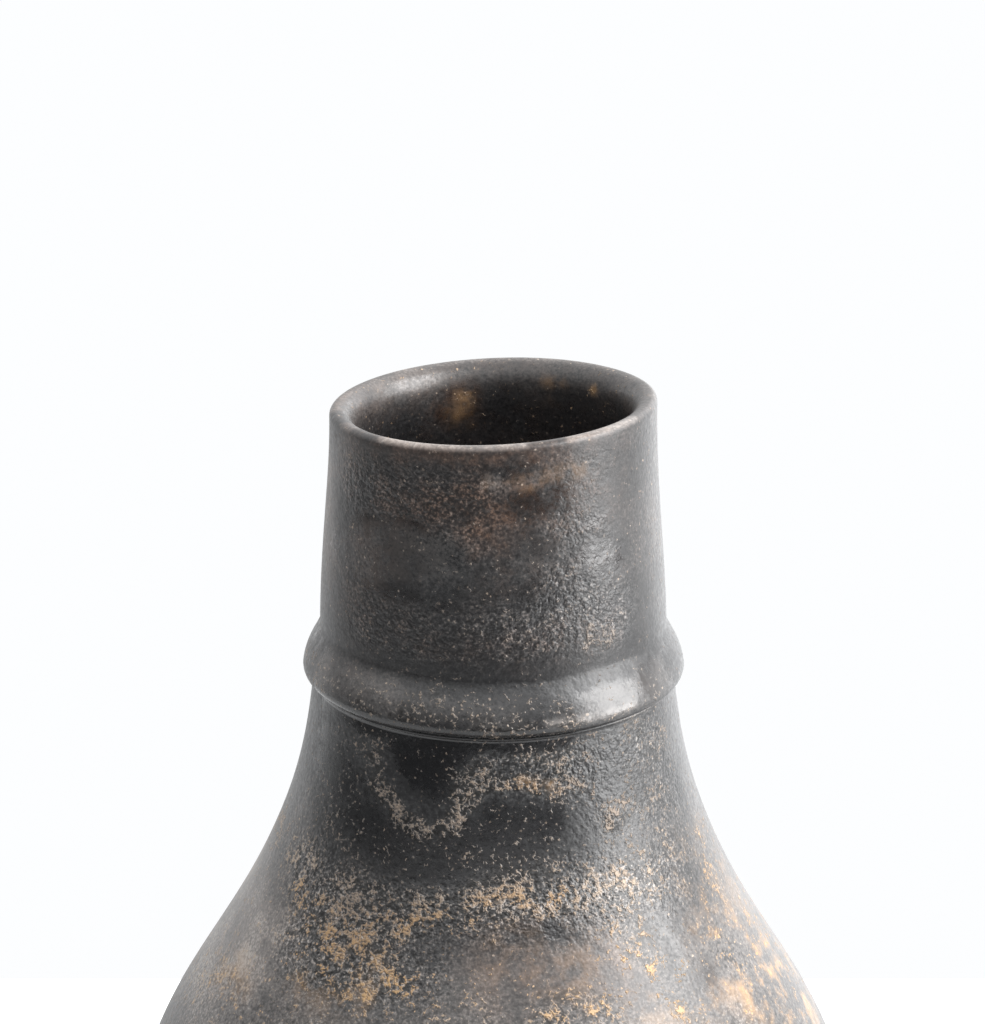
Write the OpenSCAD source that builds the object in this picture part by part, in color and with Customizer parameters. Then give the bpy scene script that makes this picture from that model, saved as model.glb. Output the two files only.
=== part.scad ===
// A tall stoneware vase, thrown and fired in one piece: a rounded body on a
// trimmed foot, a long shoulder, a raised collar and a straight neck with a
// rolled lip. Millimetres, +Z up, origin at the centre of the foot.

/* [Mouth] */
// Outer width of the mouth, just under the lip
mouth_d = 91; // [60:1:95]
// Radius of the lip's outer edge
lip_edge_r = 1.8; // [0.5:0.1:3]
// Depth of the rounding on the lip's inner side
lip_round_h = 6.5; // [2:0.5:12]

/* [Neck] */
// Height of the neck, from the collar's upper edge to the top of the lip
neck_h = 63.5; // [40:0.5:120]
// Outer width of the neck where it meets the collar
neck_base_d = 98; // [80:0.2:102]
// Lean of the neck's wall where it leaves the collar, in degrees
neck_lean = 1.2; // [0:0.2:6]

/* [Collar] */
// Outer width of the collar at its crown
collar_d = 108; // [107:1:130]
// Height of the collar, from the seam under it to its upper edge
collar_h = 16.5; // [12:0.5:40]
// Height of the collar's crown above the seam
crown_h = 3.5; // [2:0.5:8]
// How far the seam under the collar stands out from the waist
seam_step = 0.6; // [0.2:0.1:0.8]
// Radius of the fine bead that closes the seam
bead_r = 0.5; // [0.3:0.1:0.6]

/* [Shoulder] */
// Height of the shoulder, from the body's widest line to the waist
shoulder_h = 144.5; // [110:0.5:220]
// Height of the waist's turn, from its narrow end up to the seam
waist_h = 3.5; // [2:0.5:8]
// Outer width of the waist
waist_d = 103.2; // [98:0.2:104.4]
// Flare of the wall below the waist, in degrees
waist_flare = 6.5; // [0:0.5:12]
// Length over which the waist keeps its lean before it opens out
waist_sweep = 74; // [40:1:90]
// Length over which the shoulder rounds into the body
belly_sweep = 57; // [30:1:80]

/* [Body] */
// Outer width of the body at its widest line
belly_d = 210; // [170:1:260]
// Height of the widest line above the ground
belly_h = 132; // [90:1:200]

/* [Foot] */
// Outer width of the foot
foot_d = 126; // [100:1:160]
// Flare of the wall where it leaves the foot, in degrees
foot_flare = 34; // [10:1:45]
// Length over which the wall keeps its flare above the foot
foot_sweep = 44; // [20:1:60]
// Radius of the foot's outer edge
foot_edge_r = 2.5; // [1:0.5:5]
// Width of the flat ring that the vase stands on
foot_ring_w = 13; // [8:1:20]
// Depth of the recess inside the foot ring
foot_recess = 2.5; // [1:0.5:4]

/* [Wall] */
// Thickness of the wall
wall = 7; // [4:0.5:9]
// Thickness of the floor over the recess
floor_t = 8; // [5:0.5:14]
// Height of the rounding between the floor and the wall
floor_round_h = 14; // [8:1:24]

/* [Hidden] */
$fn = 180;

curve_steps = 36;
edge_steps = 8;

mouth_r = mouth_d / 2;
neck_base_r = neck_base_d / 2;
collar_r = collar_d / 2;
waist_r = waist_d / 2;
belly_r = belly_d / 2;
foot_r = foot_d / 2;

waist_z = belly_h + shoulder_h;
seam_z = waist_z + waist_h;
seam_r = waist_r + seam_step;
crown_z = seam_z + crown_h;
collar_top_z = seam_z + collar_h;
top_z = collar_top_z + neck_h;
lip_edge_z = top_z - lip_edge_r;
throat_z = top_z - lip_round_h;
floor_z = foot_recess + floor_t;

// How much of a curve's own height or width its handles take.
hold = 1 / 3;
crown_hold = 0.5;
fillet_hold = 0.2;
tuck_hold = 0.6;

// Lean of the wall where it turns out to the seam.
seam_lean = 35;

// A direction in the outline's plane, leaning outwards from straight up.
function leaning(angle) = [sin(angle), cos(angle)];

// The four points that steer each stretch of the outer wall, from its lower
// end to its upper end.
lower_wall = [
    [foot_r, foot_edge_r],
    [foot_r, foot_edge_r] + foot_sweep * leaning(foot_flare),
    [belly_r, belly_h - hold * (belly_h - foot_edge_r)],
    [belly_r, belly_h]
];
shoulder = [
    [belly_r, belly_h],
    [belly_r, belly_h + belly_sweep],
    [waist_r, waist_z] - waist_sweep * leaning(-waist_flare),
    [waist_r, waist_z]
];
waist_turn = [
    [waist_r, waist_z],
    [waist_r, waist_z] + hold * waist_h * leaning(-waist_flare),
    [seam_r, seam_z - bead_r] - hold * waist_h * leaning(seam_lean),
    [seam_r, seam_z - bead_r]
];
collar_under = [
    [seam_r, seam_z + bead_r],
    [seam_r + tuck_hold * (collar_r - seam_r), seam_z + bead_r],
    [collar_r, crown_z - tuck_hold * (crown_h - bead_r)],
    [collar_r, crown_z]
];
collar_rise = [
    [collar_r, crown_z],
    [collar_r, crown_z + crown_hold * (collar_h - crown_h)],
    [neck_base_r, collar_top_z]
        - fillet_hold * (collar_h - crown_h) * leaning(-neck_lean),
    [neck_base_r, collar_top_z]
];
neck = [
    [neck_base_r, collar_top_z],
    [neck_base_r, collar_top_z] + hold * neck_h * leaning(-neck_lean),
    [mouth_r, lip_edge_z - hold * neck_h],
    [mouth_r, lip_edge_z]
];

function at(c, t) =
    (1 - t) ^ 3 * c[0] + 3 * (1 - t) ^ 2 * t * c[1]
    + 3 * (1 - t) * t ^ 2 * c[2] + t ^ 3 * c[3];

function direction(c, t) =
    (1 - t) ^ 2 * (c[1] - c[0]) + 2 * (1 - t) * t * (c[2] - c[1])
    + t ^ 2 * (c[3] - c[2]);

// The curve itself, without its first point, which ends the stretch before.
function outer(c, steps = curve_steps) = [for (i = [1:steps]) at(c, i / steps)];

// The point one wall inside the curve, square to it.
function inside(c, t) =
    let (d = direction(c, t) / norm(direction(c, t)))
    at(c, t) + wall * [-d[1], d[0]];

// The inner face of a stretch, from its upper end down, above a given height.
function inner(c, above = 0) = [
    for (i = [curve_steps:-1:0])
        let (p = inside(c, i / curve_steps))
            if (p[1] > above) p
];

function arc(centre, radii, from, to, steps = edge_steps) = [
    for (i = [0:steps])
        let (a = from + (to - from) * i / steps)
            centre + [radii[0] * cos(a), radii[1] * sin(a)]
];

// The rounding between wall and floor: a curve from the wall's last point,
// through the corner that the wall would make with the floor.
wall_inside = inner(lower_wall, floor_z + floor_round_h);
wall_end = wall_inside[len(wall_inside) - 1];
wall_before = wall_inside[len(wall_inside) - 2];
wall_run = (wall_before[0] - wall_end[0]) / (wall_before[1] - wall_end[1]);
floor_corner = [wall_end[0] - wall_run * (wall_end[1] - floor_z), floor_z];
floor_start = [floor_corner[0] - (wall_end[1] - floor_z), floor_z];
floor_rounding = [
    for (i = [1:edge_steps])
        let (t = i / edge_steps)
            (1 - t) ^ 2 * wall_end + 2 * (1 - t) * t * floor_corner
            + t ^ 2 * floor_start
];

foot_outline = concat(
    [
        [0, foot_recess],
        [foot_r - foot_ring_w - foot_recess, foot_recess],
        [foot_r - foot_ring_w, 0]
    ],
    arc([foot_r - foot_edge_r, foot_edge_r], [foot_edge_r, foot_edge_r], -90, 0)
);

bead_outline = arc([seam_r, seam_z], [bead_r, bead_r], -90, 90);

lip_outline = concat(
    arc([mouth_r - lip_edge_r, lip_edge_z], [lip_edge_r, lip_edge_r], 0, 90),
    arc([mouth_r - lip_edge_r, throat_z],
        [wall - lip_edge_r, lip_round_h], 90, 180, 2 * edge_steps)
);

neck_inside = [for (p = inner(neck)) if (p[1] < throat_z) p];

outline = concat(
    foot_outline,
    outer(lower_wall),
    outer(shoulder),
    outer(waist_turn, edge_steps),
    bead_outline,
    outer(collar_under, edge_steps),
    outer(collar_rise, 2 * edge_steps),
    outer(neck),
    lip_outline,
    neck_inside,
    inner(shoulder),
    [for (i = [1:len(wall_inside) - 1]) wall_inside[i]],
    floor_rounding,
    [[0, floor_z]]
);

module vase() {
    color([0.22, 0.2, 0.2])
        rotate_extrude()
            polygon(outline);
}

vase();
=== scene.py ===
"""A tall stoneware vase: charcoal glaze over thrown clay, a raised collar, a sandy rust and ochre crust."""
import math

import bpy
import numpy as np
from mathutils import Matrix, Vector


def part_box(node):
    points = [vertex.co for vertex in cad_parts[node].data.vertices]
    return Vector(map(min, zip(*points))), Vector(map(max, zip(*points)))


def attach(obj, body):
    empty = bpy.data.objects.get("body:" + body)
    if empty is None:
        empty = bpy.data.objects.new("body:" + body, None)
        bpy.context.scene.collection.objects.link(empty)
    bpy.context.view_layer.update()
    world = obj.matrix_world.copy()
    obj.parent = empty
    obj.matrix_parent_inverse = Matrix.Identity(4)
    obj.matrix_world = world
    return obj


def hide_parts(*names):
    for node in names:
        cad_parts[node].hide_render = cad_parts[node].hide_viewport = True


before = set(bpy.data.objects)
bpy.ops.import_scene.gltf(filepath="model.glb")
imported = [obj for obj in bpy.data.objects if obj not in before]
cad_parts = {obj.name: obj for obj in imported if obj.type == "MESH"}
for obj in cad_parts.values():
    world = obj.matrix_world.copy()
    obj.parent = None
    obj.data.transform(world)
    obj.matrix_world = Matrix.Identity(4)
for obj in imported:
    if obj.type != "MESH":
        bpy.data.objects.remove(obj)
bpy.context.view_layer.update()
bpy.ops.object.select_all(action="DESELECT")

# The pot's wall: one piece of stoneware, thrown on a wheel, 7 mm thick. Its
# section is drawn from the middle of the foot's recess, up the outside, over
# the lip and down the inside to the middle of the floor, and then turned.
# Lengths are in metres, flares and leans in degrees from straight up.
top_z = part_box("vase")[1].z
belly_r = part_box("vase")[1].x
wall = 0.007

mouth_r = 0.0455
lip_edge_r = 0.0018
lip_round_h = 0.0065

neck_h = 0.0635
neck_base_r = 0.049
neck_lean = 1.2

collar_r = 0.054
collar_h = 0.0165
crown_h = 0.0035
crown_lean = 7
bead_r = 0.0005

shoulder_h = 0.1445
waist_h = 0.0035
waist_r = 0.0516
waist_flare = 6.5
waist_sweep = 0.074
belly_sweep = 0.057
seam_r = 0.0513

foot_r = 0.063
foot_flare = 34
foot_sweep = 0.044
foot_edge_r = 0.0025
foot_ring_w = 0.013
foot_recess = 0.0025
floor_t = 0.008
floor_round_h = 0.014
floor_round_w = 0.022
floor_hold = 0.012
floor_wall_lean = 28
floor_wall_hold = 0.008

# How much of a curve's own height or width its handles take.
hold = 1 / 3
tuck_hold = 0.6
crown_hold = 0.5
fillet_hold = 0.2

neck_z = top_z - neck_h
seam_z = neck_z - collar_h
crown_z = seam_z + crown_h
waist_z = seam_z - waist_h
belly_z = waist_z - shoulder_h
lip_edge_z = top_z - lip_edge_r
throat_z = top_z - lip_round_h
floor_z = foot_recess + floor_t
crest_r = mouth_r - lip_edge_r


def leaning(angle, length):
    """A run of the given length in the section, leaning outwards from straight up."""
    return np.array([math.sin(math.radians(angle)), math.cos(math.radians(angle))]) * length


def stretch(low, low_hold, high, high_hold, steps):
    """A bowed stretch of the section, from its low end to its high end, held at each end by a lean."""
    t = np.linspace(0, 1, steps + 1)[1:, None]
    low, high = np.array(low), np.array(high)
    a, b = low + low_hold, high - high_hold
    return (1 - t) ** 3 * low + 3 * (1 - t) ** 2 * t * a + 3 * (1 - t) * t ** 2 * b + t ** 3 * high


def rounding(centre, radii, start, end, steps):
    """A rounded edge of the section, from one angle to another, without its first point."""
    turn = np.radians(np.linspace(start, end, steps + 1))[1:]
    return np.stack([centre[0] + radii[0] * np.cos(turn), centre[1] + radii[1] * np.sin(turn)], 1)


def inner_face(line, every):
    """The face one wall inside a stretch, from its high end down, with fewer points."""
    run = np.gradient(line, axis=0)
    run /= np.linalg.norm(run, axis=1)[:, None]
    return (line + wall * np.stack([-run[:, 1], run[:, 0]], 1))[::-every]


foot_face = [
    (0, foot_recess), (foot_r - foot_ring_w - foot_recess, foot_recess),
    (foot_r - foot_ring_w, 0), (foot_r - foot_edge_r, 0)]
foot_edge = rounding((foot_r - foot_edge_r, foot_edge_r), (foot_edge_r, foot_edge_r), -90, 0, 4)
lower_wall = stretch(
    (foot_r, foot_edge_r), leaning(foot_flare, foot_sweep),
    (belly_r, belly_z), leaning(0, hold * (belly_z - foot_edge_r)), 34)
shoulder = stretch(
    (belly_r, belly_z), leaning(0, belly_sweep),
    (waist_r, waist_z), leaning(-waist_flare, waist_sweep), 104)
waist_turn = stretch(
    (waist_r, waist_z), leaning(-waist_flare, hold * waist_h),
    (seam_r, seam_z - bead_r), leaning(-waist_flare, hold * waist_h), 4)
bead = rounding((seam_r, seam_z), (bead_r, bead_r), -90, 90, 5)
collar_under = stretch(
    (seam_r, seam_z + bead_r), leaning(90, tuck_hold * (collar_r - seam_r)),
    (collar_r, crown_z), leaning(0, tuck_hold * (crown_h - bead_r)), 6)
collar_rise = stretch(
    (collar_r, crown_z), leaning(-crown_lean, crown_hold * (collar_h - crown_h)),
    (neck_base_r, neck_z), leaning(-neck_lean, fillet_hold * (collar_h - crown_h)), 18)
neck = stretch(
    (neck_base_r, neck_z), leaning(-neck_lean, hold * neck_h),
    (mouth_r, lip_edge_z), leaning(0, hold * neck_h), 50)
lip_edge = rounding((crest_r, lip_edge_z), (lip_edge_r, lip_edge_r), 0, 90, 6)
lip_bevel = rounding((crest_r, throat_z), (wall - lip_edge_r, lip_round_h), 90, 180, 10)

neck_inside = inner_face(neck, 5)
neck_inside = neck_inside[neck_inside[:, 1] < throat_z]
shoulder_inside = inner_face(shoulder, 6)
lower_inside = inner_face(lower_wall, 3)
lower_inside = lower_inside[lower_inside[:, 1] > floor_z + floor_round_h]
floor_edge = lower_inside[-1] - (floor_round_w, lower_inside[-1][1] - floor_z)
floor_rounding = stretch(
    floor_edge, leaning(90, floor_hold),
    lower_inside[-1], leaning(floor_wall_lean, floor_wall_hold), 5)[-2::-1]

outer_face = np.concatenate([
    lower_wall, shoulder, waist_turn, bead, collar_under, collar_rise, neck])
section = np.concatenate([
    foot_face, foot_edge, outer_face, lip_edge, lip_bevel,
    neck_inside, shoulder_inside, lower_inside, floor_rounding, [floor_edge], [(0, floor_z)]])

# A small plane is merged to one point, the point is drawn along the section,
# and the section is spun right round.
spin_steps = 320
seed_size = 0.001
weld_gap = 1e-5
bpy.ops.mesh.primitive_plane_add(size=seed_size, enter_editmode=True)
vase = bpy.context.object
vase.name = vase.data.name = "vase_body"
bpy.ops.mesh.merge(type="CENTER")
bpy.ops.transform.translate(value=(0, 0, foot_recess))
for run, rise in np.diff(section, axis=0):
    bpy.ops.mesh.extrude_region_move(TRANSFORM_OT_translate={"value": (run, 0, rise)})
bpy.ops.mesh.select_all(action="SELECT")
bpy.ops.mesh.spin(steps=spin_steps, angle=math.tau, center=(0, 0, 0), axis=(0, 0, 1))
bpy.ops.mesh.select_all(action="SELECT")
bpy.ops.mesh.remove_doubles(threshold=weld_gap)
bpy.ops.mesh.normals_make_consistent(inside=False)
bpy.ops.object.mode_set(mode="OBJECT")
bpy.ops.object.shade_smooth()

# What the thrower's hands and the kiln left: the mouth leans down to the
# picture's left, the collar sags in front, one lump sticks to the shoulder, and
# the wall wavers, narrows and drifts a little on its way up.
# Angles go round from the side that the photograph shows, in degrees.
mouth_lean = 2.5
mouth_lean_from = 0.305
collar_sag = 0.0011
collar_reach_down = 0.02
collar_reach_up = 0.03
seam_lift = 0.0003
lump_angle = 37
lump_z = 0.254
lump_r = 0.0036
lump_high = 0.0009
wall_waver = 0.0003
steady_up_to = 0.01
wavers_from = 0.06
near_axis = 0.02
# Millimetres, at heights in metres.
narrowing = {0: 0, 0.15: 0, 0.2: 0.4, 0.232: 0.05, 0.25: 0.3, 0.3: 0.35, 0.335: 0.2, 0.36: 0.15}
drift = {0: 0, 0.16: 0, 0.2: -0.15, 0.225: 0.05, 0.245: 0.25, 0.275: 0.35, 0.3: 0.2, 0.33: 0, 0.352: 0.2}

spots = np.empty(3 * len(vase.data.vertices))
vase.data.vertices.foreach_get("co", spots)
spots = spots.reshape(-1, 3)
radius = np.hypot(spots[:, 0], spots[:, 1])
angle = np.degrees(np.arctan2(spots[:, 0], -spots[:, 1]))
height = spots[:, 2] * 1000
outside_r = np.interp(spots[:, 2], outer_face[:, 1], outer_face[:, 0])

# 1 on the outer face and 0 on the inner one: it changes over inside the wall.
inner_side = 0.0045
changeover = 0.0015
outside = np.clip((radius - outside_r + inner_side) / changeover, 0, 1)


def eased(value, low, high):
    """Goes smoothly from 0 to 1 while the value goes from low to high."""
    t = np.clip((value - low) / (high - low), 0, 1)
    return t * t * (3 - 2 * t)


def by_height(steps, levels=181, blur=9):
    """Millimetres given at some heights, in metres and smoothed, at every point."""
    heights = np.linspace(0, top_z, levels)
    run = np.interp(heights, list(steps), [mm / 1000 for mm in steps.values()])
    run = np.convolve(np.pad(run, blur // 2, mode="edge"), np.ones(blur) / blur, mode="valid")
    return np.interp(spots[:, 2], heights, run)


a = np.radians(angle)
above = eased(spots[:, 2], mouth_lean_from, top_z)
lump = np.hypot(np.radians(angle - lump_angle) * radius, spots[:, 2] - lump_z) / lump_r
nearing = eased(spots[:, 2], waist_z - collar_reach_down, seam_z)
near_collar = nearing * (1 - eased(spots[:, 2], neck_z, neck_z + collar_reach_up))
near_seam = nearing * (1 - eased(spots[:, 2], seam_z, neck_z))
waver = (np.sin(2 * a + 1.3) * np.sin(spots[:, 2] * 41) + 0.6 * np.sin(3 * a - spots[:, 2] * 57)
         + 0.4 * np.sin(5 * a + 2.1 + spots[:, 2] * 83))
waver *= wall_waver * eased(spots[:, 2], steady_up_to, wavers_from) * np.cos(a) ** 2
waver += lump_high * outside * np.clip(1 - lump ** 2, 0, 1)
moved = spots.copy()
moved[:, :2] *= (1 + (waver - by_height(narrowing)) / np.maximum(radius, near_axis))[:, None]
moved[:, 0] += by_height(drift)
moved[:, 2] += above * math.tan(math.radians(mouth_lean)) * spots[:, 0]
moved[:, 2] -= near_collar * collar_sag * (0.2 + 0.3 * np.cos(a) + 0.5 * np.cos(2 * a) + 0.15 * np.sin(a))
moved[:, 2] += near_seam * seam_lift
vase.data.vertices.foreach_set("co", moved.ravel())
vase.data.update()

# The finish: a dark glaze over iron slip, with sand thrown on it that melted
# to cream and ochre grains. Each layer is brushed on in strokes of width in
# mm, how much, a path of (angle, height in mm) and, last, how soft the edge is:
# 0 is a hard edge, and 1 fades from the middle of the stroke.
usual_softness = 0.8


def brush(path, width, soft):
    """How much of a stroke lies at every point: 1 in its middle, 0 beyond its edge."""
    reach = np.full(len(height), np.inf)
    path = path if len(path) > 1 else path * 2
    for (angle_a, height_a), (angle_b, height_b) in zip(path, path[1:]):
        x = np.radians((angle - angle_a + 180) % 360 - 180) * radius * 1000
        y = height - height_a
        run = np.radians((angle_b - angle_a + 180) % 360 - 180) * radius * 1000
        rise = height_b - height_a
        t = np.clip((x * run + y * rise) / (run ** 2 + rise ** 2 + 1e-9), 0, 1)
        reach = np.minimum(reach, np.hypot(x - t * run, y - t * rise))
    return 1 - eased(reach, width / 2 * (1 - soft), width / 2 * (1 + soft))


def painted(name, base, strokes, inside_base, inside_strokes=()):
    """Brushes a layer on, each stroke over the one before, and keeps it as an attribute."""
    layers = []
    for ground, coats in ((base, strokes), (inside_base, inside_strokes)):
        paint = np.full(len(height), float(ground))
        for width, much, path, *soft in coats:
            share = brush(path, width, soft[0] if soft else usual_softness)
            paint += (much - paint) * share
        layers.append(paint)
    paint = layers[1] + (layers[0] - layers[1]) * outside
    kept = vase.data.attributes.new(name, "FLOAT", "POINT")
    kept.data.foreach_set("value", paint)


def girdle(*points):
    """A path right round the pot: the given points, and the back joined to them."""
    return [(-180, points[0][1]), *points, (180, points[0][1])]


# How pale the ground is: 0 is black glaze, 1 is the grey of bare slip. Some of its strokes are painted
# shade and painted highlights, marked where they lie.
painted("tone", 0.28, [
    # The neck, from under the lip down to the collar.
    (40, 0.09, girdle((-60, 300), (0, 300), (60, 300))),
    (50, 0.23, girdle((-60, 330), (0, 330), (60, 330))),
    (18, 0.20, [(-56, 345), (-10, 344), (28, 345)]),
    (6, 0.12, [(-6, 352.5), (2, 352)], 0.7),
    (5, 0.16, [(34, 353.5), (40, 353)], 0.7),
    (11, 0.0, [(8, 344.5), (28, 344.5)], 0.7),
    (8, 0.10, [(-24, 341), (-6, 341)]),
    (6, 0.36, [(-1, 350), (2, 342)], 0.9),
    (4.5, 0.62, [(0, 350), (6, 348.8), (14, 349.8), (22, 350.8), (32, 351.5)], 0.8),
    (12, 0.46, [(-12, 334), (11, 334.5)]),
    (34, 0.25, [(36, 345), (44, 325), (44, 305)]),
    # Painted light: the neck is paler toward both sides, and palest at its left edge, where the backdrop
    # lights its edges.
    (30, 0.35, [(66, 345), (66, 305)]),
    (26, 0.38, [(-74, 345), (-74, 305)]),
    (14, 0.62, [(-79, 342), (-77, 326)], 0.9),
    (21, 0.46, [(-44, 327), (-22, 326)], 0.25),
    (12, 0.40, [(-12, 325), (10, 325)]),
    (10, 0.12, [(-34, 314), (-12, 317)]),
    (9, 0.10, [(12, 318), (26, 318)]),
    (6, 0.44, [(20, 337), (21, 331)]),
    (16, 0.03, [(-52, 304), (-16, 302)]),
    (7, 0.03, [(-17, 304), (-16, 299)]),
    # The collar, and the seam under it.
    (9, 0.0, girdle((-60, 298), (0, 298), (60, 298))),
    (11, 0.38, girdle((-60, 288), (0, 287), (60, 288))),
    # Painted sheen: the left part of the collar's face is paler.
    (9, 0.56, [(-66, 289), (-34, 290)]),
    (8, 0.26, [(10, 289), (24, 290)]),
    # Painted highlight: paler under and beside the window's reflection; painted shade toward the collar's
    # right end.
    (9, 0.62, [(32, 289), (44, 289)], 0.9),
    (9, 0.56, [(54, 288), (64, 287)], 0.9),
    (10, 0.16, [(74, 288), (90, 288)]),
    # Painted shade above the reflection and a painted highlight below it, which move it down the collar's
    # face.
    (4, 0.10, [(14, 294), (48, 294)], 0.8),
    (3, 0.75, [(17, 284.4), (46, 284.4)], 0.8),
    (9, 0.30, [(-90, 290), (-76, 290)]),
    # Painted shade under the collar's overhang: dark bands along the seam, on the underside and on the
    # waist below it.
    (3, 0.10, girdle((-60, 281), (0, 279), (60, 281))),
    (9, 0.20, girdle((-60, 275), (0, 275), (60, 275))),
    (6, 0.0, [(-64, 277.5), (-10, 278), (34, 278)], 0.9),
    (4.5, 0.0, [(-44, 281), (-10, 281), (24, 281)], 0.7),
    # Painted highlights along the bead of the seam.
    (0.9, 0.55, [(-80, 280.4), (-44, 280.2)]),
    (0.9, 0.7, [(-36, 279.8), (-21, 279.2)]),
    (1.1, 0.6, [(40, 280), (84, 280)]),
    # The waist, with the black glaze inside the crust's V.
    (18, 0.10, [(-58, 264), (-36, 266)]),
    (12, 0.02, [(-30, 274), (-24, 277), (-12, 275)], 1.0),
    (12, 0.0, [(-26, 269), (-15, 269)], 0.7),
    (9, 0.0, [(-23, 263), (-18, 258)], 0.7),
    (17, 0.12, [(-58, 250), (-30, 247), (-8, 248), (28, 252)]),
    (8, 0.10, [(0, 259), (16, 258)]),
    (2.6, 0.6, [(7, 267.4), (17, 266)]),
    (12, 0.18, [(0, 271), (20, 270), (34, 268)]),
    (12, 0.26, [(40, 266), (56, 268)]),
    (14, 0.25, [(36, 258), (60, 256)]),
    (13, 0.0, [(31, 265), (42, 263)]),
    (12, 0.33, [(36, 246), (66, 244)]),
    # The shoulder, from the band of crust down, and the body.
    (14, 0.32, [(-180, 236), (-100, 236), (-60, 234), (-35, 230), (0, 235), (30, 235)]),
    (12, 0.58, [(30, 235), (46, 235)]),
    (12, 0.38, [(52, 234), (76, 234)]),
    (20, 0.62, [(-60, 214), (-54, 204)]),
    (18, 0.40, [(-44, 216), (-20, 217)]),
    (15, 0.58, [(-6, 214), (10, 218), (18, 220)]),
    (14, 0.30, [(25, 226), (24, 208), (15, 207)]),
    (9, 0.22, [(13, 208), (25, 206)]),
    (14, 0.44, [(74, 232), (62, 220)]),
    (5, 0.08, [(9, 229), (22, 228)]),
    (28, 0.68, [(34, 218), (42, 210)]),
    (9, 0.42, [(42, 223), (56, 221)]),
    (4, 0.2, [(44, 214), (47, 208), (46, 202)], 0.8),
    (34, 0.60, [(-180, 200), (-100, 196), (-50, 196), (0, 198), (50, 196), (110, 200), (180, 200)]),
    (40, 0.34, [(-180, 160), (-90, 166), (0, 160), (90, 166), (180, 160)]),
    (60, 0.16, [(-180, 60), (-90, 52), (0, 60), (90, 52), (180, 60)]),
    # Painted light: the body is paler toward both sides, where the backdrop lights its edges.
    (54, 0.80, [(-96, 212), (-72, 206)], 0.9),
    (50, 0.60, [(76, 206), (82, 198), (104, 198)], 0.9),
    (18, 0.70, [(56, 208), (66, 206)], 1.0),
    (18, 0.58, [(-72, 246), (-64, 230)], 1.0),
    (12, 0.40, [(60, 246), (62, 230)], 1.0),
    # The lip, worn pale along its edge, with a painted highlight along its front.
    (3.4, 0.34, girdle((-60, 357), (0, 357), (60, 357))),
    (1.8, 0.66, girdle((-90, 359.8), (0, 359.8), (90, 359.8)), 0.8),
    (1.6, 0.86, [(-60, 360), (0, 360), (60, 360)], 0.8),
    (3, 0.3, [(14, 359), (24, 359)], 0.8),
    (3, 0.3, [(-58, 359), (-46, 359)], 0.8),
    (3, 0.2, [(-82, 354.5), (-80, 352.5)], 0.5),
    (6, 0.0, [(-82, 356.5), (-72, 357)], 0.8),
], 0.12, [
    (12, 0.50, girdle((-90, 357), (0, 357), (90, 357))),
    # Painted highlight on the inner bevel, at the back on the left.
    (10, 0.70, [(-150, 358), (-128, 358)]),
])

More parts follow.
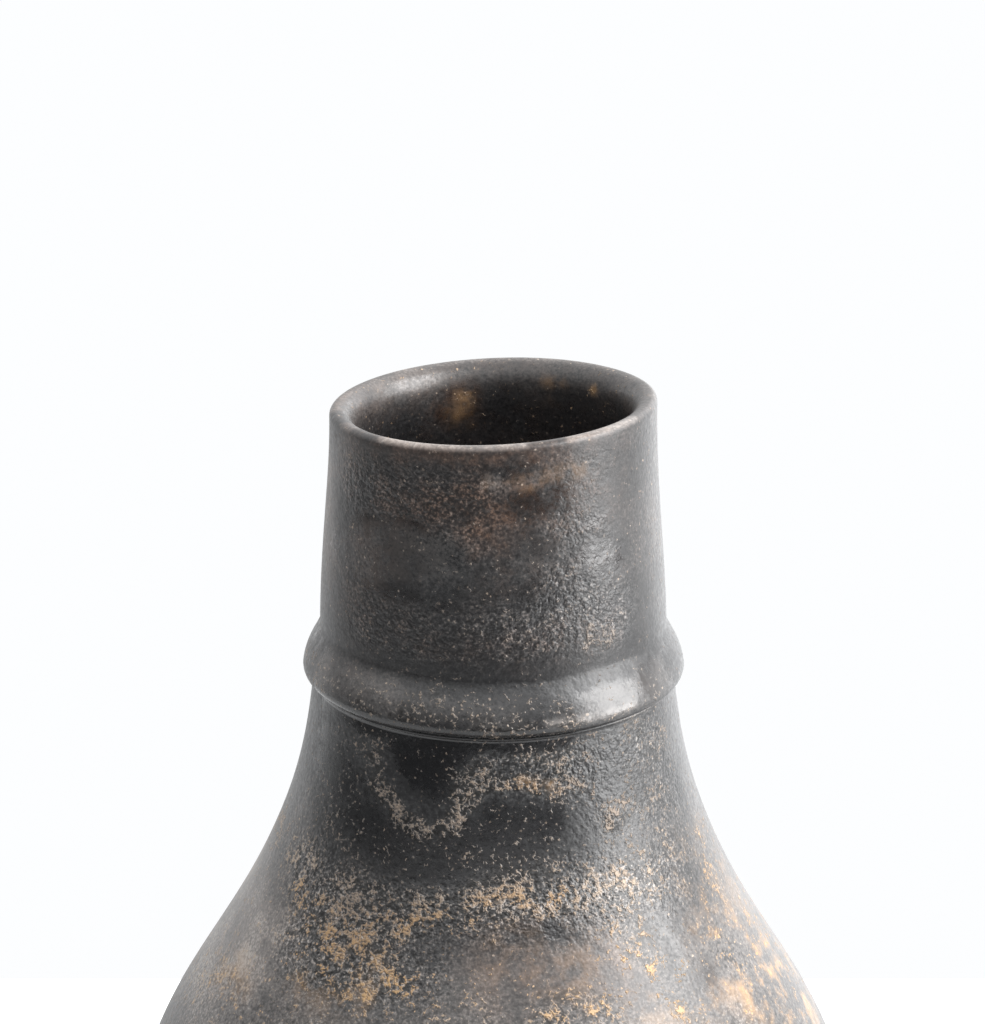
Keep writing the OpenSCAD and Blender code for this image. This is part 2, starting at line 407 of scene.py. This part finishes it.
# How thickly the sand grains lie: 0 is none, 1 is a closed crust.
painted("grains", 0.08, [
    # The neck and the collar.
    (40, 0.06, girdle((-60, 345), (0, 345), (60, 345))),
    (9, 0.16, [(24, 337), (34, 334)]),
    (16, 0.18, [(-46, 308), (-8, 306), (8, 308)]),
    (14, 0.26, [(8, 308), (24, 307)]),
    (8, 0.5, [(33, 306), (40, 303.5)], 0.8),
    (7, 0.03, girdle((-60, 297), (0, 297), (60, 297))),
    (10, 0.44, [(-180, 288), (-90, 288), (-38, 288), (0, 288), (24, 288)]),
    (3, 0.9, [(-19, 292.3), (-17, 292.5)], 0.8),
    (3.4, 0.62, [(-44, 284.6), (-30, 283.6), (0, 282.6), (10, 282.8)]),
    (3.4, 0.5, [(10, 283), (28, 283.4), (60, 283.4)]),
    (8, 0.02, [(31, 289), (49, 289)], 0.5),
    # The waist, where the crust runs down in a V and up again to the right.
    (9, 0.42, [(-9, 275), (10, 274), (30, 274), (50, 275)]),
    (8, 0.30, [(-58, 274), (-34, 274)]),
    (18, 0.34, [(-60, 258), (-44, 256)]),
    (13, 0.06, [(-28, 277), (-14, 277)], 0.5),
    (9, 0.06, [(-24, 270), (-17, 268)], 0.5),
    (5.5, 0.85, [(-38, 268), (-36, 263), (-32, 259)], 0.8),
    (5.5, 0.8, [(-32, 259), (-27, 255), (-21, 252.5), (-15, 252.5), (-12, 254.5)], 0.8),
    (5.5, 0.95, [(-12, 256), (-9, 259), (-6, 264)], 0.6),
    (9, 0.74, [(-10, 267), (-5, 266)], 0.7),
    (3.4, 1.3, [(2, 267.4), (9, 266.8), (18, 265.4)], 0.6),
    (4.6, 1.6, [(12, 266.4), (17, 265.8)], 0.6),
    (8, 0.62, [(18, 266), (27, 264)], 0.8),
    (6, 0.55, [(18, 260), (24, 259)], 0.8),
    (14, 0.26, [(0, 256), (26, 253)]),
    (5, 0.44, [(-4, 247), (4, 246)]),
    (10, 0.42, [(-58, 247), (-10, 246)]),
    (8, 1.0, [(35, 254.5), (40, 254)], 0.5),
    (6, 0.58, [(40, 256), (60, 255.5)], 0.8),
    (10, 0.40, [(44, 265), (64, 268)]),
    (9, 0.46, [(-4, 245), (14, 243), (30, 244)]),
    (12, 0.34, [(32, 246), (64, 246)]),
    # The shoulder's band of crust, the patches below it, and the body.
    (26, 0.26, girdle((-60, 222), (0, 222), (60, 222))),
    (11, 0.68, [(-180, 236), (-100, 236), (-62, 235), (-45, 232), (-30, 234), (-12, 236)]),
    (8, 0.92, [(-58, 229), (-46, 226), (-38, 223), (-28, 227), (-18, 229), (-10, 231)], 0.7),
    (6, 1.2, [(-13, 230), (-9, 236)], 0.8),
    (10, 0.88, [(-12, 234), (-2, 236), (14, 236), (30, 236)], 0.6),
    (2.6, 1.6, [(1, 235.4), (8, 234.6), (14, 233.6)], 0.8),
    (12, 0.78, [(30, 235), (54, 235)]),
    (12, 0.40, [(54, 235), (70, 235), (110, 236), (180, 236)]),
    (5, 0.16, [(-10, 243), (-26, 243)]),
    (5, 0.06, [(9, 229), (22, 228)], 0.6),
    (14, 0.84, [(-50, 217), (-42, 215), (-24, 214)], 0.8),
    (14, 0.10, [(-14, 223), (30, 221)]),
    (12, 0.26, [(-14, 208), (10, 208)]),
    (10, 0.62, [(12, 208), (25, 207)]),
    (16, 0.24, [(32, 222), (60, 218)]),
    (12, 0.45, [(75, 233), (66, 222), (62, 212)]),
    (10, 0.75, [(34, 228), (38, 218), (42, 208), (44, 198)], 0.8),
    (24, 0.40, [(68, 206), (100, 204)]),
    (8, 0.65, [(62, 209), (70, 205)]),
    (30, 0.20, [(-85, 212), (-62, 212)]),
    (8, 0.6, [(-74, 199), (-60, 197)]),
    (30, 0.34, [(-180, 186), (-90, 184), (0, 184), (90, 184), (180, 186)]),
    (46, 0.20, [(-180, 150), (-90, 156), (0, 150), (90, 156), (180, 150)]),
    (60, 0.04, [(-180, 60), (-90, 52), (0, 60), (90, 52), (180, 60)]),
], 0.04, [
    (3, 0.7, [(-169, 350.5), (-164, 349.8)], 0.8),
    (2.6, 0.6, [(131, 354.6), (134, 354.2)], 0.8),
])

# How warm the grains are: 0 is cream, 1 is the orange of iron.
painted("ochre", 0.22, [
    (10, 0.8, [(-58, 228), (-44, 224), (-34, 223), (-24, 228)]),
    (16, 1.0, [(-48, 213), (-18, 214)]),
    (7, 0.85, [(-27, 229.5), (-12, 230), (0, 236), (18, 236)]),
    (16, 0.8, [(-10, 220), (30, 218), (44, 206)]),
    (4, 0.9, [(4, 267), (18, 265)]),
    (30, 0.95, [(56, 205), (80, 198), (110, 202)]),
    (14, 0.25, [(40, 236), (64, 234)]),
    (12, 0.9, [(76, 233), (66, 221), (62, 212)]),
    (10, 0.8, [(12, 208), (25, 207)]),
    (16, 0.0, [(26, 306), (44, 304)]),
    (20, 0.7, [(-84, 200), (-50, 196)]),
    (26, 0.8, [(-180, 205), (-120, 200)]),
    (26, 0.8, [(120, 200), (180, 205)]),
], 0.8, [
    (6, 1.0, [(-166, 349), (-163, 347)]),
])

# How much iron shows through as brown.
painted("rust", 0.10, [
    (30, 0.28, girdle((-60, 340), (0, 340), (60, 340))),
    (5, 0.85, [(-62, 357), (-20, 356.5), (14, 356.5), (42, 357)]),
    (12, 0.75, [(-56, 345), (-12, 345)]),
    (10, 0.9, [(-9, 344), (5, 343)]),
    (10, 0.9, [(8, 345), (28, 345)]),
    (8, 1.0, [(-14, 335), (9, 335)]),
    (8, 0.7, [(-21, 336), (-12, 333)]),
    (14, 0.5, [(-52, 310), (-38, 310)]),
    (8, 0.5, [(-22, 304), (-4, 304)]),
    (12, 0.45, [(8, 304), (40, 304)]),
    (14, 0.6, [(110, 345), (180, 340)]),
    (14, 0.6, [(-180, 340), (-110, 346)]),
    (16, 0.5, [(-150, 312), (-100, 306)]),
    (16, 0.5, [(110, 306), (160, 316)]),
    (26, 0.7, [(26, 345), (46, 345)]),
    (22, 0.0, [(-46, 327), (-20, 326)], 0.3),
    (9, 0.1, [(13, 331), (20, 330)], 0.8),
    (60, 0.3, [(-75, 345), (-75, 300)]),
    (60, 0.1, [(75, 345), (75, 300)]),
    (50, 0.0, girdle((-60, 268), (0, 268), (60, 268))),
    (20, 0.4, [(4, 220), (28, 216)], 1.0),
], 0.2, [
    (10, 0.9, [(-168, 348), (-160, 346)]),
])

# Where the ochre melted into the glaze and stained it.
painted("stain", 0.0, [
    (24, 0.9, [(66, 208), (72, 200), (84, 190)], 1.0),
    (14, 0.9, [(65, 211), (67, 198)], 1.0),
    (6, 1.5, [(63, 208), (64, 202)], 1.0),
    (20, 0.15, [(66, 230), (84, 224)], 0.9),
    (16, 0.14, [(6, 220), (20, 218)], 1.0),
    (12, 0.40, [(-43, 212), (-29, 212)], 1.0),
    (12, 0.3, [(34, 206), (50, 204)], 1.0),
    (12, 0.35, [(-76, 204), (-62, 197)], 0.9),
    (2.4, 0.8, [(9, 267.2), (17, 266)]),
    (26, 0.5, [(-180, 205), (-110, 200)]),
    (26, 0.5, [(110, 200), (180, 205)]),
    (4.5, 0.2, [(0, 350), (6, 348.8), (14, 349.8), (22, 350.8), (32, 351.5)], 0.8),
], 0.0, [
    (6, 0.22, [(-167, 346.5), (-165, 345)], 1.0),
    (2.6, 1.4, [(-170, 350.6), (-164, 349.8)], 0.9),
    (4, 0.3, [(150, 355), (156, 354.4)], 1.0),
    (2.2, 1.2, [(131, 354.6), (133, 354.2)], 0.9),
])

# How rough the sand makes the surface.
painted("sandy", 0.35, [
    (50, 0.35, girdle((-60, 335), (0, 335), (60, 335))),
    (24, 0.10, [(54, 345), (58, 300)]),
    (24, 0.15, [(-74, 345), (-74, 300)]),
    (13, 0.85, [(-56, 345), (-12, 346), (6, 345)]),
    (12, 0.35, [(9, 345), (28, 345)]),
    (12, 0.8, [(-21, 335), (-10, 334)]),
    (10, 0.7, [(24, 337), (34, 333)]),
    (16, 1.0, [(2, 309), (14, 311), (28, 314), (42, 311)]),
    (12, 0.9, [(16, 318), (28, 322)]),
    (10, 0.2, [(36, 327), (50, 324)]),
    (16, 0.7, [(-44, 307), (-8, 307)]),
    (7, 0.2, girdle((-60, 297), (0, 297), (60, 297))),
    (13, 0.2, girdle((-60, 288), (0, 287), (60, 288))),
    (30, 0.3, girdle((-60, 262), (0, 262), (60, 262))),
    (14, 0.9, [(-8, 274), (20, 270), (56, 270)]),
    (12, 0.8, [(36, 256), (64, 256)]),
    (18, 1.0, [(-55, 232), (-30, 228), (0, 232), (50, 235)]),
    (30, 0.1, [(-85, 215), (-62, 212)]),
    (30, 0.15, [(64, 212), (85, 205)]),
    (20, 0.25, [(38, 216), (52, 208)]),
    (18, 0.2, [(-10, 216), (28, 216)]),
    (14, 0.9, [(-50, 217), (-16, 217)]),
    (60, 0.15, [(-180, 50), (-90, 44), (0, 50), (90, 44), (180, 50)]),
    (6, 0.1, girdle((-60, 359), (0, 359), (60, 359))),
], 0.15)

# Where the glaze ran smooth over the sand: 1 is mirror smooth.
painted("sleek", 0.1, [
    (22, 0.75, [(-46, 327), (-20, 326)], 0.25),
    (7, 0.75, [(-45, 334), (-41, 333.5)], 0.3),
    (6, 0.75, [(-31, 337), (-27, 336)], 0.3),
    (14, 0.45, [(-16, 321), (10, 322)], 0.8),
    (10, 0.5, [(12, 333), (17, 331)], 0.7),
    (14, 0.4, [(-66, 326), (-48, 326)]),
    (5, 0.5, [(-1, 353), (13, 353)], 0.7),
    (5, 0.5, [(34, 337), (39, 337)], 0.7),
    (11, 0.7, [(36, 327), (42, 325)], 0.7),
    (12, 0.65, girdle((-60, 288.5), (0, 287.5), (60, 288.5)), 0.4),
    (16, 0.0, [(88, 288), (180, 288)], 0.4),
    (16, 0.0, [(-180, 288), (-110, 288)], 0.4),
    (9, 0.7, [(33, 288), (43, 288)], 0.9),
    (5, 0.1, [(18, 294.5), (50, 294.5)], 0.6),
    (7, 0.85, [(-64, 279.5), (22, 279.5)], 0.5),
    (10, 0.5, [(8, 344.5), (26, 344.5)], 0.7),
    (12, 0.2, [(72, 287), (90, 287)]),
    (12, 0.3, [(-90, 287), (-74, 287)]),
    (13, 0.8, [(-28, 277), (-14, 275)], 0.6),
    (10, 0.8, [(-25, 270), (-17, 266)], 0.6),
    (18, 0.7, [(-60, 266), (-46, 256), (-20, 245), (4, 248)], 0.8),
    (12, 0.7, [(0, 257), (16, 256)], 0.8),
    (14, 0.6, [(46, 224), (52, 205)], 0.8),
], 0.4)


class Glaze:
    """A fired surface's nodes, wired by short calls."""

    def __init__(self, name):
        self.material = bpy.data.materials.new(name)
        self.material.use_nodes = True
        self.tree = self.material.node_tree
        self.shader = self.tree.nodes["Principled BSDF"]
        self.place = self.node("ShaderNodeTexCoord", "Object")

    def feed(self, socket, value):
        """Links another node's output to a socket, or sets a plain value on it."""
        if isinstance(value, bpy.types.NodeSocket):
            self.tree.links.new(value, socket)
        else:
            socket.default_value = value

    def node(self, kind, out, ins=None, **settings):
        """Adds a node with its inputs and settings, and gives the output asked for."""
        made = self.tree.nodes.new(kind)
        for key, value in settings.items():
            setattr(made, key, value)
        for key, value in (ins or {}).items():
            self.feed(made.inputs[key], value)
        return made.outputs[out]

    def layer(self, name):
        """One of the layers brushed on the pot."""
        return self.node("ShaderNodeAttribute", "Fac", attribute_name=name)

    def times(self, a, b):
        return self.node("ShaderNodeMath", 0, {0: a, 1: b}, operation="MULTIPLY")

    def add(self, a, b):
        return self.node("ShaderNodeMath", 0, {0: a, 1: b})

    def scaled(self, a, b, c):
        """a times b, plus c."""
        return self.node("ShaderNodeMath", 0, {0: a, 1: b, 2: c}, operation="MULTIPLY_ADD")

    def rise(self, value, low, high, start=0.0, end=1.0):
        """Goes smoothly from start to end while the value goes from low to high."""
        return self.node(
            "ShaderNodeMapRange", 0,
            {"Value": value, "From Min": low, "From Max": high, "To Min": start, "To Max": end},
            interpolation_type="SMOOTHSTEP")

    def cloud(self, size, detail=2.0, rough=0.5, seed=0.0, flat=1.0, out="Fac"):
        """Noise whose lumps are about size across, in metres, and flat times as high."""
        place = self.node(
            "ShaderNodeMapping", 0,
            {"Vector": self.place, "Location": (seed, seed, seed), "Scale": (1, 1, 1 / flat)})
        return self.node(
            "ShaderNodeTexNoise", out,
            {"Vector": place, "Scale": 0.5 / size, "Detail": detail, "Roughness": rough})

    def specks(self, apart, many, place):
        """Separate specks, about apart metres apart: how pale each point is with them."""
        cell = self.tree.nodes.new("ShaderNodeTexVoronoi")
        self.feed(cell.inputs["Vector"], place)
        cell.inputs["Scale"].default_value = 1 / apart
        chance = self.tree.nodes.new("ShaderNodeSeparateColor")
        self.feed(chance.inputs[0], cell.outputs["Color"])
        there = self.rise(self.add(chance.outputs[0], many), 0.97, 1.03)
        wide = self.scaled(chance.outputs[1], -0.25, cell.outputs["Distance"])
        pale = self.rise(chance.outputs[2], 0.0, 1.0, 0.25, 1.0)
        return self.times(self.times(there, pale), self.rise(wide, 0.34, 0.1))

    def blend(self, share, a, b):
        """Colour a, with a share of colour b over it."""
        made = self.tree.nodes.new("ShaderNodeMix")
        made.data_type = "RGBA"
        self.feed(made.inputs[0], share)
        self.feed(made.inputs[6], a)
        self.feed(made.inputs[7], b)
        return made.outputs[2]

    def ramp(self, value, stops):
        """Colours at stops between 0 and 1, blended in between."""
        made = self.tree.nodes.new("ShaderNodeValToRGB")
        self.feed(made.inputs[0], value)
        for _ in stops[2:]:
            made.color_ramp.elements.new(0.5)
        for element, (place, colour) in zip(made.color_ramp.elements, stops):
            element.position = place
            element.color = (*colour, 1)
        return made.outputs[0]


pot = Glaze("stoneware_glaze")
# Painted shade for the pits of the sand and the gaps in a thick crust.
pit_shade = (0.007, 0.006, 0.006, 1)
gap_shade = (0.012, 0.011, 0.010, 1)
ochre_stain = (0.46, 0.28, 0.14, 1)
dark_cream = (0.22, 0.183, 0.155, 1)
pale_cream = (0.42, 0.355, 0.30, 1)
dark_orange = (0.27, 0.16, 0.075, 1)
pale_orange = (0.60, 0.37, 0.17, 1)
relief = 0.0005

tone, grains, ochre = pot.layer("tone"), pot.layer("grains"), pot.layer("ochre")
rust, sandy, sleek = pot.layer("rust"), pot.layer("sandy"), pot.layer("sleek")
stain = pot.layer("stain")

# Noise in four sizes: blotches of glaze, clumps of sand, its grains, and grit.
blotch = pot.cloud(0.009, 4, 0.6)
clump = pot.cloud(0.0024, 3, 0.6, seed=3.1)
grain = pot.cloud(0.0007, 1.6, 0.55, seed=7.7, flat=0.85)
grit = pot.cloud(0.00042, 1.5, 0.6, seed=5.3)

# Smooth glaze ends in a ragged edge.
ragged = pot.scaled(clump, 1.1, pot.scaled(grit, 0.8, -0.95))
sleek = pot.rise(pot.add(sleek, ragged), 0.25, 0.85)
unglazed = pot.scaled(sleek, -1.0, 1.0)

# How closely the sand lies at each point: in clumps, and thinner on smooth glaze.
lie = pot.node("ShaderNodeClamp", 0, {"Value": pot.scaled(pot.add(blotch, clump), 3.2, -2.2), "Max": 1.9})
lie = pot.times(pot.times(grains, lie), pot.scaled(sleek, -0.3, 1.0))
lie = pot.node("ShaderNodeMath", 0, {0: lie, 1: 1.0}, operation="MINIMUM")

# The grains: lumps and veins that stand above the glaze as the sand lies closer,
# with single specks between them, and painted shade in the gaps of a thick crust and in the pits.
stirred = pot.node(
    "ShaderNodeVectorMath", 0,
    {0: pot.cloud(0.0005, 2, 0.6, seed=1.9, out="Color"), 1: (0.0012, 0.0012, 0.0012), 2: pot.place},
    operation="MULTIPLY_ADD")
vein = pot.cloud(0.00125, 2, 0.55, seed=11.7)
off_vein = pot.node("ShaderNodeMath", 0, {0: pot.scaled(vein, 1.0, -0.5)}, operation="ABSOLUTE")
lumpy = pot.scaled(pot.rise(off_vein, 0.07, 0.0), 0.7, pot.scaled(grain, 3.2, pot.scaled(clump, 1.0, -2.1)))
over = pot.add(lumpy, pot.scaled(lie, 1.15, -1.15))
crested = pot.rise(over, 0.0, 0.9)
speck = pot.specks(0.00085, pot.scaled(lie, 0.4, 0.03), stirred)
grained = pot.node(
    "ShaderNodeMath", 0, {0: pot.rise(over, -0.05, 0.25, 0.0, 0.9), 1: speck}, operation="MAXIMUM")
# Painted shade: darker in the gaps of a thick crust and in the hollows of the sand's relief.
shaded_gaps = pot.times(pot.rise(over, -0.05, -0.4), pot.rise(lie, 0.3, 0.7))
shaded_pits = pot.times(pot.rise(grain, 0.48, 0.34), pot.times(pot.scaled(sandy, 0.5, grains), unglazed))

# The ground, from black glaze to the grey of bare slip, brown with iron, and with painted shade in the pits
# and gaps.
shade = pot.scaled(grains, 0.22, pot.scaled(pot.scaled(blotch, 1.0, -0.5), 0.6, tone))
fine = pot.scaled(grit, 1.4, pot.scaled(clump, 0.4, pot.scaled(grain, 0.3, -1.05)))
fine = pot.times(fine, pot.scaled(tone, -0.75, 1.0))
shade = pot.scaled(fine, pot.times(pot.scaled(sleek, -0.75, 1.0), pot.scaled(sandy, 2.0, 0.5)), shade)
ground = pot.ramp(shade, [
    (0.0, (0.008, 0.008, 0.009)), (0.35, (0.030, 0.030, 0.031)),
    (0.65, (0.086, 0.082, 0.080)), (0.85, (0.19, 0.177, 0.169)), (1.0, (0.42, 0.387, 0.36))])
browned = pot.ramp(shade, [
    (0.0, (0.016, 0.009, 0.006)), (0.35, (0.056, 0.032, 0.022)),
    (0.65, (0.138, 0.080, 0.054)), (1.0, (0.31, 0.20, 0.14))])
iron = pot.times(rust, pot.rise(pot.add(clump, blotch), 0.8, 1.15, 0.4, 1.0))
ground = pot.blend(iron, ground, browned)
ground = pot.blend(shaded_pits, ground, pit_shade)
ground = pot.blend(pot.times(shaded_gaps, 0.85), ground, gap_shade)
stained = pot.times(stain, pot.rise(pot.scaled(clump, 0.6, blotch), 0.7, 1.0))
ground = pot.blend(stained, ground, ochre_stain)

# The sand, cream or orange, and paler where the ground under it is pale.
paleness = pot.rise(tone, 0.1, 0.75)
cream = pot.blend(paleness, dark_cream, pale_cream)
orange = pot.blend(paleness, dark_orange, pale_orange)
warm = pot.times(ochre, pot.rise(clump, 0.36, 0.60))
sand = pot.blend(warm, cream, orange)
share = pot.times(grained, pot.node(
    "ShaderNodeMath", 0, {0: pot.scaled(crested, 0.75, 0.38), 1: speck}, operation="MAXIMUM"))
pot.feed(pot.shader.inputs["Base Color"], pot.blend(share, ground, sand))

# The satin gloss, duller on grains, and the relief of sand and crust.
dull = pot.scaled(sleek, -0.25, pot.scaled(grain, 0.3, 0.27))
pot.feed(pot.shader.inputs["Roughness"], pot.scaled(grained, 0.2, dull))
pot.shader.inputs["Specular IOR Level"].default_value = 0.7

dented = pot.cloud(0.0013, 2, 0.65, seed=9.3)
tooth = pot.times(pot.times(sandy, unglazed), pot.scaled(dented, 1.3, pot.scaled(grain, 0.7, -1.0)))
lumps = pot.scaled(clump, 0.25, pot.scaled(crested, 0.65, tooth))
bumps = pot.node("ShaderNodeBump", 0, {"Height": lumps, "Strength": 1.0, "Distance": relief})
pot.feed(pot.shader.inputs["Normal"], bumps)
vase.data.materials.append(pot.material)

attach(vase, "root")
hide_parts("vase")

# The table: a plain pale top whose far edge lies behind the pot. It takes the
# pot's shadow, and a glow that only the camera sees makes its lit part white.
table_back_y = 0.41
table_front_y = -0.6
table_half_w = 0.9
table_grey = (0.6, 0.6, 0.6, 1)
table_glow = 0.6
bpy.ops.mesh.primitive_plane_add(size=1)
table = bpy.context.object
table.name = table.data.name = "table_top"
table.data.transform(
    Matrix.Translation((0, (table_back_y + table_front_y) / 2, 0))
    @ Matrix.Diagonal((2 * table_half_w, table_back_y - table_front_y, 1, 1)))
pale_top = Glaze("table_white")
pale_top.feed(pale_top.shader.inputs["Base Color"], table_grey)
pale_top.feed(pale_top.shader.inputs["Roughness"], 0.8)
pale_top.feed(pale_top.shader.inputs["Emission Color"], (1, 1, 1, 1))
seen = pale_top.node("ShaderNodeLightPath", "Is Camera Ray")
pale_top.feed(pale_top.shader.inputs["Emission Strength"], pale_top.times(seen, table_glow))
table.data.materials.append(pale_top.material)

# The light: a white backdrop behind the pot, brighter on the window's side, a
# bright ceiling, a darker room in front, and one tall window on the right that
# reaches down to the table. The camera itself sees plain white all round.
# The three spans say over which part of the sky each of them fades in.
room_dim = 0.13
backdrop_white = 1.0
backdrop_lit = 2.8
ceiling_white = 1.2
lit_side = (-0.1, 0.5)
backdrop_span = (0.0, 0.8)
ceiling_span = (0.05, 0.7)
sky_colour = (0.98, 0.99, 1.0, 1)
world = bpy.data.worlds.new("studio")
bpy.context.scene.world = world
world.use_nodes = True
sky = world.node_tree


def sky_node(kind, ins=None, **settings):
    """A node of the world, fed with numbers or with other nodes' outputs."""
    made = sky.nodes.new(kind)
    for key, value in settings.items():
        setattr(made, key, value)
    for key, value in (ins or {}).items():
        if isinstance(value, bpy.types.NodeSocket):
            sky.links.new(value, made.inputs[key])
        else:
            made.inputs[key].default_value = value
    return made


facing = sky_node("ShaderNodeSeparateXYZ", {0: sky_node("ShaderNodeTexCoord").outputs["Generated"]})


def fading(direction, span, low, high):
    """Goes smoothly from low to high across a span of the sky in one direction."""
    return sky_node(
        "ShaderNodeMapRange",
        {"Value": facing.outputs[direction], "From Min": span[0], "From Max": span[1],
         "To Min": low, "To Max": high},
        interpolation_type="SMOOTHSTEP").outputs[0]


backdrop = fading("Y", backdrop_span, 0.0, fading("X", lit_side, backdrop_white, backdrop_lit))
ceiling = fading("Z", ceiling_span, 0.0, ceiling_white)
brighter = sky_node("ShaderNodeMath", {0: backdrop, 1: ceiling}, operation="MAXIMUM")
lit = sky_node("ShaderNodeMath", {0: brighter.outputs[0], 1: room_dim})
camera_ray = sky_node("ShaderNodeLightPath").outputs["Is Camera Ray"]
level = sky_node("ShaderNodeMix", {0: camera_ray, 2: lit.outputs[0], 3: 1.0})
sky.links.new(level.outputs[0], sky.nodes["Background"].inputs["Strength"])
sky.nodes["Background"].inputs["Color"].default_value = sky_colour

aim_z = 0.3276
window_w = 0.9
window_h = 1.75
window_distance = 1.3
window_angle = 75
window_rise = 21
window_watts = 42


def around(angle, rise, distance):
    """A place round the neck: angle 0 is in front, 90 on the right, and rise is above the horizon."""
    turn, lift = math.radians(angle), math.radians(rise)
    return (
        distance * math.sin(turn) * math.cos(lift), -distance * math.cos(turn) * math.cos(lift),
        aim_z + distance * math.sin(lift))


def face(thing, target):
    """Turns a lamp or a camera to look at a place."""
    thing.rotation_euler = (Vector(target) - thing.location).to_track_quat("-Z", "Y").to_euler()


bpy.ops.object.light_add(type="AREA", location=around(window_angle, window_rise, window_distance))
window = bpy.context.object
window.name = "window_light"
window.data.shape = "RECTANGLE"
window.data.size = window_w
window.data.size_y = window_h
window.data.energy = window_watts
face(window, (0, 0, aim_z))

# The camera: a long lens a little over a metre away and above the mouth, aimed
# at the neck, as the photograph was taken.
camera_distance = 1.1
camera_rise = 17.6
lens_mm = 138.7
sensor_mm = 36
bpy.ops.object.camera_add(location=around(0, camera_rise, camera_distance))
camera = bpy.context.object
camera.name = "front_camera"
camera.data.lens = lens_mm
camera.data.sensor_width = sensor_mm
face(camera, (0, 0, aim_z))
bpy.context.scene.camera = camera
bpy.context.scene.view_settings.view_transform = "Standard"
